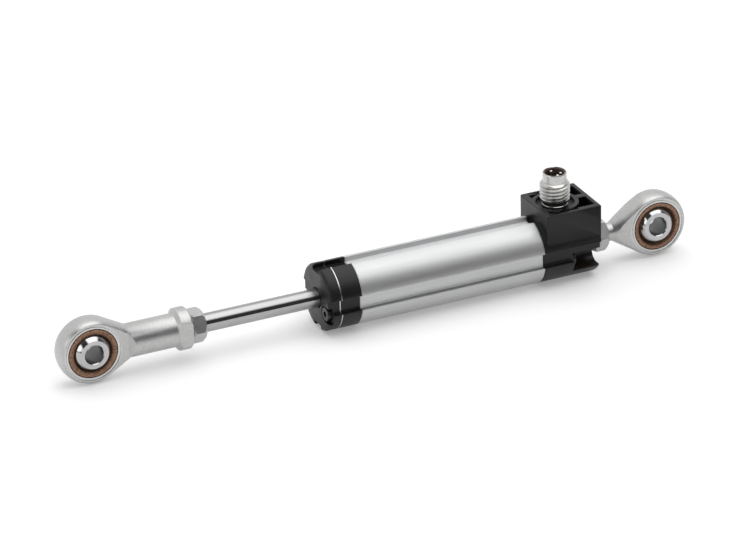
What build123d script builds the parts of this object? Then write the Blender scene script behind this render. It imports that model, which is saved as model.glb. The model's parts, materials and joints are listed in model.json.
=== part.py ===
"""Linear potentiometer with two rod ends: every piece as its own solid, in millimetres.

The origin is the centre of the rear ball joint. X runs along the stroke, Z is up, and
the fixed rear end is at the right. The sensor body lies along the X axis at negative X,
and the rod points to negative X, drawn out as far as in the photograph.
"""

import os
from math import cos, radians, sin

from build123d import *

os.makedirs("parts", exist_ok=True)

# Fits, all as radial gaps or face gaps.
RUNNING = 0.04
SLIP = 0.03
SEATED = 0.02
LOOSE = 0.15

# Stations along X.
EYE_SPAN = 161.0
TUBE_FRONT = -88.8
TUBE_REAR = -36.0
RING_LENGTH = 5.5
SHIM_THICKNESS = 0.27
PLATE_LENGTH = 3.23
RIM_LENGTH = 1.0
BLOCK_REAR = -19.2
RING_FRONT = TUBE_FRONT - RING_LENGTH
SHIM_FRONT = RING_FRONT - SHIM_THICKNESS
PLATE_FRONT = SHIM_FRONT - PLATE_LENGTH
BLOCK_FRONT = TUBE_REAR + RIM_LENGTH

# Section of the body: a round bar with four long grooves.
BODY_R = 9.0
GROOVE_HALF = 2.0
GROOVE_DEPTH = 1.7
GROOVE_FLOOR = BODY_R - GROOVE_DEPTH
LOBE_ROUND = 0.25
RIM_ROUND = 0.7
TUBE_BEVEL = 0.15

# Inside of the tube: a round hole for the rod and a chamber above it for the track, as
# large as the rod, its carriage and the track board need.
ROD_R = 2.5
CARRIAGE_WALL = 1.1
CARRIAGE_R = ROD_R + CARRIAGE_WALL
CARRIAGE_TOP = CARRIAGE_R - 0.2
SLIDE_GAP = 0.3
BORE_R = CARRIAGE_R + SLIDE_GAP
WIPER_GAP = 1.05
BOARD_BOTTOM = CARRIAGE_TOP + WIPER_GAP
BOARD_THICKNESS = 1.13
CHAMBER_TOP = BOARD_BOTTOM + BOARD_THICKNESS + SEATED
CHAMBER_HALF = 4.5
SPIGOT_LENGTH = 2.0

# Screws of both ends, one each side of the rod, a little below the axis.
SCREW_Y = 5.0
SCREW_Z = -2.65
SCREW_R = 1.0
SCREW_HEAD_R = 1.9
SCREW_HEAD_H = 1.2
SCREW_SOCKET_AF = 1.5
SCREW_SOCKET_DEPTH = 0.8
SCREW_REACH = 15.0
FRONT_POCKET_R = 2.2
REAR_POCKET_R = 2.45
REAR_POCKET_WALL = -27.3

# Upper block of the rear end.
BLOCK_INSET = 1.0
BLOCK_HALF = BODY_R - BLOCK_INSET
BLOCK_RISE = 3.4
BLOCK_TOP = BODY_R + BLOCK_RISE
WALL_FRONT = 1.7
WALL_REAR = 1.2
WALL_SIDE = 1.7
POCKET_DEPTH = 6.0
RIB_WIDTH = 2.0

# Plug connector.
PLUG_X = -28.8
PLUG_RISE = 8.5
PLUG_TOP = BLOCK_TOP + PLUG_RISE
NOSE_R = 3.2
NOSE_LENGTH = 2.7
NOSE_BOTTOM = PLUG_TOP - NOSE_LENGTH
THREAD_R = 4.0
THREAD_ROOT_R = 3.4
THREAD_PITCH = 1.0
THREAD_TURNS = 5
THREAD_BOTTOM = NOSE_BOTTOM - THREAD_TURNS * THREAD_PITCH
NECK_R = 3.35
WELL_R = 5.1
WELL_DEPTH = 1.0
WELL_FLOOR = BLOCK_TOP - WELL_DEPTH
GASKET = 0.4
RIM_R = 3.45
RIM_HEIGHT = 0.35
RIM_BOTTOM = WELL_FLOOR + GASKET
RIM_TOP = RIM_BOTTOM + RIM_HEIGHT
STEM_R = 3.2
STEM_LENGTH = 4.4
STEM_BOTTOM = BLOCK_TOP - STEM_LENGTH
CUP_R = 2.85
CUP_DEPTH = 3.3
INSERT_FLOOR = PLUG_TOP - CUP_DEPTH
BOSS_R = 6.35
PIN_R = 0.4
PIN_CIRCLE = 1.6
PIN_TOP = PLUG_TOP - 0.3
PIN_ANGLES = (98.0, -22.0, -88.0)

# Rod ends and balls.
BALL_R = 5.556
BALL_HALF = 4.0
EYE_R = 8.8
EYE_HALF = 3.0
FLAT_EDGE = 0.2
FLAT_DROP = 0.6
LIP_R = 7.25
LIP_GROOVE = 0.3
LIP_DEPTH = 0.25
FRONT_LEAN = 28.8
REAR_LEAN = 32.0
RACE_R = 6.75
NUT_AF = 8.0
NUT_LENGTH = 4.0
NUT_BEVEL = 0.95
NUT_ROUND = 0.15
FRONT_NUT_TURN = 5.0
REAR_NUT_TURN = -4.0
SOCKET_LENGTH = 27.0
SHANK_R = 4.45
COLLAR_R = 5.6
COLLAR_FRONT = 22.95
COLLAR_AF = 9.0
THREAD_DEPTH = 11.0
STUD_LENGTH = 27.0
REAR_BALL_AXIS = (-0.056, -0.996, 0.068)

# Inner works.
CARRIAGE_FRONT = -83.0
CARRIAGE_LENGTH = 14.0
RETAINER_THICKNESS = 0.8
RETAINER_R = 3.3
BOARD_HALF = CHAMBER_HALF - 0.2
TRACK_THICKNESS = 0.08
TRACK_WIDTH = 2.2
TRACK_Y = 2.0
TRACK_MARGIN = 0.5
WIPER_START = 3.0
WIPER_FOOT = 3.2
WIPER_TIP = 7.7
WIPER_WIDTH = 1.2
BUSH_WALL = 0.6
INSERT_R = 3.3
INSERT_FRONT = -30.0
INSERT_STAND = 0.55
HOLE_ROOM = 1.0
PIN_TAIL = 1.0
LEAD_R = 0.28
LEAD_BEND = 2.0
LEAD_ROOM = 0.75


def station(x):
    """Plane across the body at this X: drawn with Y to the right and Z up."""
    return Plane(origin=(x, 0, 0), x_dir=(0, 1, 0), z_dir=(1, 0, 0))


def flank(x, y):
    """Plane along the body at this Y: drawn with X to the right and Z up."""
    return Plane(origin=(x, y, 0), x_dir=(1, 0, 0), z_dir=(0, -1, 0))


def level(z):
    """Plane at this height: drawn with X to the right and Y up."""
    return Plane(origin=(0, 0, z), x_dir=(1, 0, 0), z_dir=(0, 0, 1))


def body_outline():
    """Draws the round outline with its four grooves in the sketch in hand."""
    Circle(BODY_R)
    depth = 2 * GROOVE_DEPTH
    with PolarLocations(GROOVE_FLOOR + depth / 2, 4):
        Rectangle(depth, 2 * GROOVE_HALF, mode=Mode.SUBTRACT)


def rounded_end(x_far, x_end):
    """Draws half the body's length, from the far station to its rounded end."""
    step = 1.0 if x_end > x_far else -1.0
    Polygon(
        (x_end, 0),
        (x_end, BODY_R - RIM_ROUND),
        (x_end - 0.4 * RIM_ROUND * step, BODY_R - 0.35 * RIM_ROUND),
        (x_end - 1.1 * RIM_ROUND * step, BODY_R + 0.01),
        (x_far, BODY_R + 0.01),
        (x_far, 0),
        align=None,
    )


def chamber_outline(gap):
    """Draws the inside of the tube, smaller all round by the gap."""
    Circle(BORE_R - gap)
    height = CHAMBER_TOP - 2 * gap
    with Locations((0, gap + height / 2)):
        Rectangle(2 * (CHAMBER_HALF - gap), height)


def finish(part, name):
    """Labels a piece and writes it as a STEP file."""
    part.label = name
    export_step(part, f"parts/{name}.step")


# The tube is a cut length of extruded bar, so one profile makes all of it. The screw
# holes run in from both ends beside the rod hole.
with BuildPart() as profile_tube:
    with BuildSketch(station(TUBE_FRONT)):
        body_outline()
    extrude(amount=TUBE_REAR - TUBE_FRONT)
    lobe_edges = profile_tube.edges().filter_by(Axis.X)
    lobe_edges = lobe_edges.filter_by(lambda e: (e.center().Y**2 + e.center().Z**2) > (0.95 * BODY_R) ** 2)
    fillet(lobe_edges, LOBE_ROUND)
    end_edges = profile_tube.edges().group_by(Axis.X)
    chamfer(end_edges[0] + end_edges[-1], TUBE_BEVEL)
    with BuildSketch(station(TUBE_FRONT)):
        chamber_outline(0.0)
    extrude(amount=TUBE_REAR - TUBE_FRONT, mode=Mode.SUBTRACT)
    with BuildSketch(station(TUBE_FRONT)):
        with Locations((-SCREW_Y, SCREW_Z), (SCREW_Y, SCREW_Z)):
            Circle(SCREW_R + SLIP)
    extrude(amount=SCREW_REACH, mode=Mode.SUBTRACT)
    with BuildSketch(station(TUBE_REAR)):
        with Locations((-SCREW_Y, SCREW_Z), (SCREW_Y, SCREW_Z)):
            Circle(SCREW_R + SLIP)
    extrude(amount=-SCREW_REACH, mode=Mode.SUBTRACT)
finish(profile_tube.part, "profile_tube")

# The second black ring closes the tube and carries the rod bush. Its spigot fills the
# chamber of the tube for two millimetres.
BUSH_R = ROD_R + RUNNING + BUSH_WALL
with BuildPart() as front_ring:
    with BuildSketch(station(RING_FRONT)):
        body_outline()
    extrude(amount=RING_LENGTH)
    lobe_edges = front_ring.edges().filter_by(Axis.X)
    lobe_edges = lobe_edges.filter_by(lambda e: (e.center().Y**2 + e.center().Z**2) > (0.95 * BODY_R) ** 2)
    fillet(lobe_edges, LOBE_ROUND)
    with BuildSketch(station(TUBE_FRONT)):
        chamber_outline(LOOSE)
    extrude(amount=SPIGOT_LENGTH)
    with BuildSketch(station(RING_FRONT)):
        Circle(BUSH_R + SLIP)
    extrude(amount=RING_LENGTH + SPIGOT_LENGTH, mode=Mode.SUBTRACT)
    with BuildSketch(station(RING_FRONT)):
        with Locations((-SCREW_Y, SCREW_Z), (SCREW_Y, SCREW_Z)):
            Circle(SCREW_R + LOOSE)
    extrude(amount=RING_LENGTH, mode=Mode.SUBTRACT)
finish(front_ring.part, "front_ring")

# The rod bush is a plain sleeve, flush with both faces of the ring.
with BuildPart() as rod_bush:
    with BuildSketch(station(RING_FRONT)):
        Circle(BUSH_R)
        Circle(ROD_R + RUNNING, mode=Mode.SUBTRACT)
    extrude(amount=RING_LENGTH + SPIGOT_LENGTH)
finish(rod_bush.part, "rod_bush")

# The thin bright plate between the two black pieces has the same outline.
with BuildPart() as front_shim:
    with BuildSketch(station(SHIM_FRONT)):
        body_outline()
        Circle(ROD_R + LOOSE + RUNNING, mode=Mode.SUBTRACT)
        with Locations((-SCREW_Y, SCREW_Z), (SCREW_Y, SCREW_Z)):
            Circle(SCREW_R + LOOSE, mode=Mode.SUBTRACT)
    extrude(amount=SHIM_THICKNESS)
finish(front_shim.part, "front_shim")

# The front plate has a rounded outer edge, the rod hole and two pockets that open to
# the sides, each with a screw head in it.
SEAL_R = 3.6
SEAL_LENGTH = 1.5
with BuildPart() as front_flange:
    with BuildSketch(station(PLATE_FRONT)):
        body_outline()
    extrude(amount=PLATE_LENGTH)
    lobe_edges = front_flange.edges().filter_by(Axis.X)
    lobe_edges = lobe_edges.filter_by(lambda e: (e.center().Y**2 + e.center().Z**2) > (0.95 * BODY_R) ** 2)
    fillet(lobe_edges, LOBE_ROUND)
    with BuildSketch(Plane.XY):
        rounded_end(SHIM_FRONT, PLATE_FRONT)
    revolve(axis=Axis.X, mode=Mode.INTERSECT)
    with BuildSketch(station(PLATE_FRONT)):
        Circle(ROD_R + 0.25)
    extrude(amount=PLATE_LENGTH, mode=Mode.SUBTRACT)
    with BuildSketch(station(SHIM_FRONT)):
        Circle(SEAL_R + SLIP)
    extrude(amount=-SEAL_LENGTH, mode=Mode.SUBTRACT)
    with BuildSketch(station(PLATE_FRONT)):
        with Locations((-SCREW_Y, SCREW_Z), (SCREW_Y, SCREW_Z)):
            Circle(FRONT_POCKET_R)
        with Locations((-SCREW_Y - BODY_R / 2, SCREW_Z), (SCREW_Y + BODY_R / 2, SCREW_Z)):
            Rectangle(BODY_R, 2 * FRONT_POCKET_R)
    extrude(amount=SCREW_HEAD_H, mode=Mode.SUBTRACT)
    with BuildSketch(station(PLATE_FRONT)):
        with Locations((-SCREW_Y, SCREW_Z), (SCREW_Y, SCREW_Z)):
            Circle(SCREW_R + LOOSE)
    extrude(amount=PLATE_LENGTH, mode=Mode.SUBTRACT)
finish(front_flange.part, "front_flange")

# The rod seal is a rubber ring let into the back of the plate.
with BuildPart() as rod_seal:
    with BuildSketch(station(SHIM_FRONT - SEAL_LENGTH + SEATED)):
        Circle(SEAL_R)
        Circle(ROD_R + RUNNING, mode=Mode.SUBTRACT)
    extrude(amount=SEAL_LENGTH - 2 * SEATED)
finish(rod_seal.part, "rod_seal")

# Both screws of an end are one group of separate solids with six-sided sockets.
FRONT_SEAT = PLATE_FRONT + SCREW_HEAD_H
with BuildPart() as front_screws:
    with BuildSketch(station(FRONT_SEAT - SCREW_HEAD_H)):
        with Locations((-SCREW_Y, SCREW_Z), (SCREW_Y, SCREW_Z)):
            Circle(SCREW_HEAD_R)
    extrude(amount=SCREW_HEAD_H - SEATED)
    with BuildSketch(station(FRONT_SEAT - SCREW_HEAD_H)):
        with Locations((-SCREW_Y, SCREW_Z), (SCREW_Y, SCREW_Z)):
            Circle(SCREW_R)
    extrude(amount=SCREW_REACH + SCREW_HEAD_H)
    with BuildSketch(station(FRONT_SEAT - SCREW_HEAD_H)):
        with Locations((-SCREW_Y, SCREW_Z), (SCREW_Y, SCREW_Z)):
            RegularPolygon(SCREW_SOCKET_AF / 2, 6, major_radius=False)
    extrude(amount=SCREW_SOCKET_DEPTH, mode=Mode.SUBTRACT)
    head_edges = front_screws.faces().sort_by(Axis.X)[:2].edges().filter_by(GeomType.CIRCLE)
    chamfer(head_edges, 0.15)
finish(front_screws.part, "front_screws")

# The rear end is one moulded piece: a round flange like the tube, a square block above
# it with four open pockets round the connector boss, and a screw pocket at each side.
with BuildPart() as rear_block:
    with BuildSketch(station(TUBE_REAR)):
        body_outline()
    extrude(amount=BLOCK_REAR - TUBE_REAR)
    lobe_edges = rear_block.edges().filter_by(Axis.X)
    lobe_edges = lobe_edges.filter_by(lambda e: (e.center().Y**2 + e.center().Z**2) > (0.95 * BODY_R) ** 2)
    fillet(lobe_edges, LOBE_ROUND)
    with BuildSketch(Plane.XY):
        rounded_end(TUBE_REAR, BLOCK_REAR)
    revolve(axis=Axis.X, mode=Mode.INTERSECT)
    with BuildSketch(station(BLOCK_FRONT)):
        with Locations((0, (GROOVE_HALF + BLOCK_TOP) / 2)):
            Rectangle(2 * BLOCK_HALF, BLOCK_TOP - GROOVE_HALF)
        groove_middle = GROOVE_FLOOR + BODY_R / 2
        with Locations((-groove_middle, 0), (groove_middle, 0)):
            Rectangle(BODY_R, 2 * GROOVE_HALF, mode=Mode.SUBTRACT)
    extrude(amount=BLOCK_REAR - BLOCK_FRONT)
    upright = rear_block.edges().filter_by(Axis.Z)
    upright = upright.filter_by(lambda e: abs(e.center().Y) > BLOCK_HALF - 0.1)
    fillet(upright, 0.3)
    with BuildSketch(station(TUBE_REAR)):
        chamber_outline(LOOSE)
    extrude(amount=-SPIGOT_LENGTH)
    # The open top: a chamber inside the walls, with the boss and a rib left standing.
    inner_front = BLOCK_FRONT + WALL_FRONT
    inner_rear = BLOCK_REAR - WALL_REAR
    inner_half = BLOCK_HALF - WALL_SIDE
    with BuildSketch(level(BLOCK_TOP)):
        with Locations(((inner_front + inner_rear) / 2, 0)):
            Rectangle(inner_rear - inner_front, 2 * inner_half)
        with Locations((PLUG_X, 0)):
            Circle(BOSS_R, mode=Mode.SUBTRACT)
        with Locations(((PLUG_X + inner_rear) / 2, 0)):
            Rectangle(inner_rear - PLUG_X, RIB_WIDTH, mode=Mode.SUBTRACT)
    extrude(amount=-POCKET_DEPTH, mode=Mode.SUBTRACT)
    with BuildSketch(level(BLOCK_TOP)):
        with Locations((PLUG_X, 0)):
            Circle(WELL_R)
    extrude(amount=WELL_FLOOR - BLOCK_TOP, mode=Mode.SUBTRACT)
    with BuildSketch(level(BLOCK_TOP)):
        with Locations((PLUG_X, 0)):
            Circle(STEM_R + SLIP)
    extrude(amount=STEM_BOTTOM - SEATED - BLOCK_TOP, mode=Mode.SUBTRACT)
    # Room below the connector for the leads, open to the chamber of the tube.
    lead_half = PIN_CIRCLE + PIN_R
    lead_bottom = BOARD_BOTTOM - LEAD_ROOM
    lead_top = BOARD_BOTTOM + LEAD_ROOM
    with BuildSketch(level(STEM_BOTTOM)):
        with Locations((PLUG_X, 0)):
            Circle(lead_half + PIN_R)
    extrude(amount=lead_bottom - STEM_BOTTOM, mode=Mode.SUBTRACT)
    with BuildSketch(station(TUBE_REAR - SPIGOT_LENGTH)):
        with Locations((0, (lead_bottom + lead_top) / 2)):
            Rectangle(2 * lead_half, lead_top - lead_bottom)
    extrude(amount=PLUG_X - TUBE_REAR + SPIGOT_LENGTH, mode=Mode.SUBTRACT)
    with BuildSketch(station(INSERT_FRONT)):
        Circle(INSERT_R + SLIP)
    extrude(amount=BLOCK_REAR - INSERT_FRONT, mode=Mode.SUBTRACT)
    with BuildSketch(station(BLOCK_REAR)):
        with Locations((-SCREW_Y, SCREW_Z), (SCREW_Y, SCREW_Z)):
            Circle(REAR_POCKET_R)
        with Locations((-SCREW_Y - BODY_R / 2, SCREW_Z), (SCREW_Y + BODY_R / 2, SCREW_Z)):
            Rectangle(BODY_R, 2 * REAR_POCKET_R)
    extrude(amount=REAR_POCKET_WALL - BLOCK_REAR, mode=Mode.SUBTRACT)
    with BuildSketch(station(TUBE_REAR)):
        with Locations((-SCREW_Y, SCREW_Z), (SCREW_Y, SCREW_Z)):
            Circle(SCREW_R + LOOSE)
    extrude(amount=REAR_POCKET_WALL - TUBE_REAR, mode=Mode.SUBTRACT)
finish(rear_block.part, "rear_block")

# The rear screws come from the back, deep in the side pockets.
with BuildPart() as rear_screws:
    with BuildSketch(station(REAR_POCKET_WALL + SEATED)):
        with Locations((-SCREW_Y, SCREW_Z), (SCREW_Y, SCREW_Z)):
            Circle(SCREW_HEAD_R)
    extrude(amount=SCREW_HEAD_H)
    with BuildSketch(station(REAR_POCKET_WALL + SEATED)):
        with Locations((-SCREW_Y, SCREW_Z), (SCREW_Y, SCREW_Z)):
            Circle(SCREW_R)
    extrude(amount=-SCREW_REACH)
    with BuildSketch(station(REAR_POCKET_WALL + SEATED + SCREW_HEAD_H)):
        with Locations((-SCREW_Y, SCREW_Z), (SCREW_Y, SCREW_Z)):
            RegularPolygon(SCREW_SOCKET_AF / 2, 6, major_radius=False)
    extrude(amount=-SCREW_SOCKET_DEPTH, mode=Mode.SUBTRACT)
    head_edges = rear_screws.faces().sort_by(Axis.X)[-2:].edges().filter_by(GeomType.CIRCLE)
    chamfer(head_edges, 0.15)
finish(rear_screws.part, "rear_screws")

# The brass insert in the back of the block takes the threaded stud of the rod end. It
# stands a little proud of the block, so the lock nut bears on metal.
with BuildPart() as rear_thread_insert:
    with BuildSketch(station(INSERT_FRONT + SEATED)):
        Circle(INSERT_R)
    extrude(amount=BLOCK_REAR + INSERT_STAND - INSERT_FRONT - SEATED)
    with BuildSketch(station(BLOCK_REAR + INSERT_STAND)):
        Circle(ROD_R + SLIP)
    extrude(amount=-(STUD_LENGTH + BLOCK_REAR + INSERT_STAND) - HOLE_ROOM, mode=Mode.SUBTRACT)
finish(rear_thread_insert.part, "rear_thread_insert")

# The connector shell is turned from bar: stem, rim, neck, thread and nose, with a cup
# in the top. The thread is drawn as rings of the right pitch.
with BuildPart() as connector_shell:
    with BuildSketch(Plane.XZ.offset(0)):
        with BuildLine():
            points = [(0, STEM_BOTTOM), (STEM_R, STEM_BOTTOM), (STEM_R, RIM_BOTTOM)]
            points += [(RIM_R, RIM_BOTTOM), (RIM_R, RIM_TOP - 0.1), (NECK_R, RIM_TOP)]
            points += [(NECK_R, THREAD_BOTTOM)]
            z = THREAD_BOTTOM
            while z < NOSE_BOTTOM - 0.9 * THREAD_PITCH:
                points += [(THREAD_ROOT_R, z + 0.08 * THREAD_PITCH), (THREAD_R, z + 0.44 * THREAD_PITCH)]
                points += [(THREAD_R, z + 0.56 * THREAD_PITCH), (THREAD_ROOT_R, z + 0.92 * THREAD_PITCH)]
                z += THREAD_PITCH
            points += [(NOSE_R, NOSE_BOTTOM), (NOSE_R, PLUG_TOP - 0.2)]
            points += [(NOSE_R - 0.15, PLUG_TOP), (0, PLUG_TOP), (0, STEM_BOTTOM)]
            Polyline(*points)
        make_face()
    revolve(axis=Axis.Z)
    with BuildSketch(level(STEM_BOTTOM)):
        Circle(CUP_R + SLIP)
    extrude(amount=PLUG_TOP - STEM_BOTTOM, mode=Mode.SUBTRACT)
finish(connector_shell.part.moved(Location((PLUG_X, 0, 0))), "connector_shell")

# The insert is a moulded cup that holds the pins and fills the shell.
with BuildPart() as connector_insert:
    with BuildSketch(level(STEM_BOTTOM)):
        with Locations((PLUG_X, 0)):
            Circle(CUP_R)
    extrude(amount=PLUG_TOP - 0.3 - STEM_BOTTOM)
    with BuildSketch(level(INSERT_FLOOR)):
        with Locations((PLUG_X, 0)):
            Circle(CUP_R - 0.3)
    extrude(amount=PLUG_TOP - INSERT_FLOOR, mode=Mode.SUBTRACT)
    with BuildSketch(level(STEM_BOTTOM)):
        with Locations((PLUG_X, 0)):
            for angle in PIN_ANGLES:
                with PolarLocations(PIN_CIRCLE, 1, start_angle=angle):
                    Circle(PIN_R + SEATED)
    extrude(amount=INSERT_FLOOR - STEM_BOTTOM, mode=Mode.SUBTRACT)
finish(connector_insert.part, "connector_insert")

# Three contact pins with rounded tips.
with BuildPart() as connector_pins:
    with BuildSketch(level(STEM_BOTTOM - PIN_TAIL)):
        with Locations((PLUG_X, 0)):
            for angle in PIN_ANGLES:
                with PolarLocations(PIN_CIRCLE, 1, start_angle=angle):
                    Circle(PIN_R)
    extrude(amount=PIN_TOP - STEM_BOTTOM + PIN_TAIL)
    fillet(connector_pins.edges().group_by(Axis.Z)[-1], 0.25)
finish(connector_pins.part, "connector_pins")

# The flat gasket lies on the floor of the well, under the rim of the connector.
with BuildPart() as connector_seal:
    with BuildSketch(level(WELL_FLOOR + SEATED)):
        with Locations((PLUG_X, 0)):
            Circle(RIM_R)
            Circle(STEM_R + SEATED, mode=Mode.SUBTRACT)
    extrude(amount=GASKET - 2 * SEATED)
finish(connector_seal.part, "connector_seal")

# The track board hangs at the top of the chamber between the two spigots.
BOARD_FRONT = TUBE_FRONT + SPIGOT_LENGTH + 0.3
BOARD_REAR = TUBE_REAR - SPIGOT_LENGTH - 0.3
with BuildPart() as resistor_board:
    with BuildSketch(level(BOARD_BOTTOM)):
        with Locations(((BOARD_FRONT + BOARD_REAR) / 2, 0)):
            Rectangle(BOARD_REAR - BOARD_FRONT, 2 * BOARD_HALF)
    extrude(amount=CHAMBER_TOP - SEATED - BOARD_BOTTOM)
finish(resistor_board.part, "resistor_board")

# Two printed tracks under the board: the resistance at one side, the collector beside.
for track_name, track_y in (("resistance_track", -TRACK_Y), ("collector_track", TRACK_Y)):
    with BuildPart() as track:
        with BuildSketch(level(BOARD_BOTTOM)):
            with Locations(((BOARD_FRONT + BOARD_REAR) / 2, track_y)):
                Rectangle(BOARD_REAR - BOARD_FRONT - 2 * TRACK_MARGIN, TRACK_WIDTH)
        extrude(amount=-TRACK_THICKNESS)
    finish(track.part, track_name)

# The carriage slides in the chamber and carries the wiper; the rod turns in it.
with BuildPart() as wiper_carriage:
    with BuildSketch(station(CARRIAGE_FRONT)):
        Circle(CARRIAGE_R)
        with Locations((0, (SLIDE_GAP + CARRIAGE_TOP) / 2)):
            Rectangle(2 * (CHAMBER_HALF - SLIDE_GAP), CARRIAGE_TOP - SLIDE_GAP)
        with Locations((0, CARRIAGE_TOP + CARRIAGE_R)):
            Rectangle(2 * CARRIAGE_R, 2 * CARRIAGE_R, mode=Mode.SUBTRACT)
        Circle(ROD_R + RUNNING, mode=Mode.SUBTRACT)
    extrude(amount=CARRIAGE_LENGTH)
finish(wiper_carriage.part, "wiper_carriage")

# Each wiper is a bent spring strip from the carriage up to its track.
TRACK_FACE = BOARD_BOTTOM - TRACK_THICKNESS
with BuildPart() as wiper_contacts:
    for wiper_y in (-TRACK_Y, TRACK_Y):
        with BuildSketch(flank(0, wiper_y + WIPER_WIDTH / 2)):
            with BuildLine():
                start = CARRIAGE_FRONT + WIPER_START
                foot = start + WIPER_FOOT
                tip = start + WIPER_TIP
                top = TRACK_FACE - 0.03
                Polyline(
                    (start, CARRIAGE_TOP),
                    (foot, CARRIAGE_TOP),
                    (tip - 0.5, top - 0.32),
                    (tip, top - 0.15),
                    (tip + 0.6, top - 0.32),
                    (tip + 0.6, top - 0.17),
                    (tip, top),
                    (tip - 0.6, top - 0.17),
                    (foot - 0.2, CARRIAGE_TOP + 0.15),
                    (start, CARRIAGE_TOP + 0.15),
                    (start, CARRIAGE_TOP),
                )
            make_face()
        extrude(amount=WIPER_WIDTH)
finish(wiper_contacts.part, "wiper_contacts")

# The rod runs from the thread in the front rod end to just behind the carriage.
FRONT_BALL_X = -EYE_SPAN
ROD_FRONT = FRONT_BALL_X + SOCKET_LENGTH - THREAD_DEPTH + HOLE_ROOM
CARRIAGE_REAR = CARRIAGE_FRONT + CARRIAGE_LENGTH
ROD_REAR = CARRIAGE_REAR + RETAINER_THICKNESS + 0.7
with BuildPart() as actuator_rod:
    with BuildSketch(station(ROD_FRONT)):
        Circle(ROD_R)
    extrude(amount=ROD_REAR - ROD_FRONT)
    chamfer(actuator_rod.edges().filter_by(GeomType.CIRCLE), 0.3)
finish(actuator_rod.part, "actuator_rod")

# A retaining ring on each side keeps the carriage on the rod and lets the rod turn.
with BuildPart() as rod_retainer:
    for ring_x in (CARRIAGE_FRONT - SEATED - RETAINER_THICKNESS, CARRIAGE_REAR + SEATED):
        with BuildSketch(station(ring_x)):
            Circle(RETAINER_R)
            Circle(ROD_R + SEATED, mode=Mode.SUBTRACT)
        extrude(amount=RETAINER_THICKNESS)
finish(rod_retainer.part, "rod_retainer")


def make_nut(x_front, turn):
    """A hexagon nut with both faces bevelled, its flats turned by this angle."""
    with BuildPart() as nut:
        with BuildSketch(station(x_front)):
            RegularPolygon(NUT_AF / 2, 6, major_radius=False, rotation=turn)
        extrude(amount=NUT_LENGTH)
        fillet(nut.edges().filter_by(Axis.X), NUT_ROUND)
        face_r = NUT_AF / 2 - 0.2
        with BuildSketch(Plane.XY):
            with BuildLine():
                Polyline(
                    (x_front, 0),
                    (x_front, face_r),
                    (x_front + NUT_BEVEL, face_r + NUT_BEVEL),
                    (x_front + NUT_LENGTH - NUT_BEVEL, face_r + NUT_BEVEL),
                    (x_front + NUT_LENGTH, face_r),
                    (x_front + NUT_LENGTH, 0),
                    (x_front, 0),
                )
            make_face()
        revolve(axis=Axis.X, mode=Mode.INTERSECT)
        with BuildSketch(station(x_front)):
            Circle(ROD_R + SEATED)
        extrude(amount=NUT_LENGTH, mode=Mode.SUBTRACT)
    return nut.part


# Two equal lock nuts, one against each rod end.
SOCKET_END = FRONT_BALL_X + SOCKET_LENGTH
finish(make_nut(SOCKET_END + SEATED, FRONT_NUT_TURN), "front_lock_nut")
finish(make_nut(BLOCK_REAR + INSERT_STAND + SEATED, REAR_NUT_TURN), "rear_lock_nut")


def cone_start(lean):
    """Where the cone of this lean leaves the sphere of the eye: along X and radius."""
    return EYE_R * sin(radians(lean)), EYE_R * cos(radians(lean))


def cone_end(lean, radius):
    """How far from the ball centre the same cone has come down to this radius."""
    return (EYE_R - radius * cos(radians(lean))) / sin(radians(lean))


def finish_eye(ball_x, blank, name):
    """Breaks the edges of the flats, bores the eye and turns the groove round its lip."""
    with BuildPart() as bored:
        add(blank)
        for side in (-1, 1):
            flats = bored.faces().filter_by(lambda f: abs(f.center().Y - side * EYE_HALF) < 0.001)
            flat = flats.sort_by(SortBy.AREA)[-1]
            flat_edges = flat.edges().filter_by(lambda e: e.geom_type != GeomType.LINE)
            chamfer(flat_edges, FLAT_EDGE, FLAT_DROP, reference=flat)
        with BuildSketch(flank(ball_x, EYE_HALF)):
            Circle(RACE_R + SEATED)
        extrude(amount=2 * EYE_HALF, mode=Mode.SUBTRACT)
        for y, depth in ((EYE_HALF, LIP_DEPTH), (-EYE_HALF, -LIP_DEPTH)):
            with BuildSketch(flank(ball_x, y)):
                Circle(LIP_R + LIP_GROOVE)
                Circle(LIP_R, mode=Mode.SUBTRACT)
            extrude(amount=depth, mode=Mode.SUBTRACT)
    finish(bored.part, name)


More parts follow.
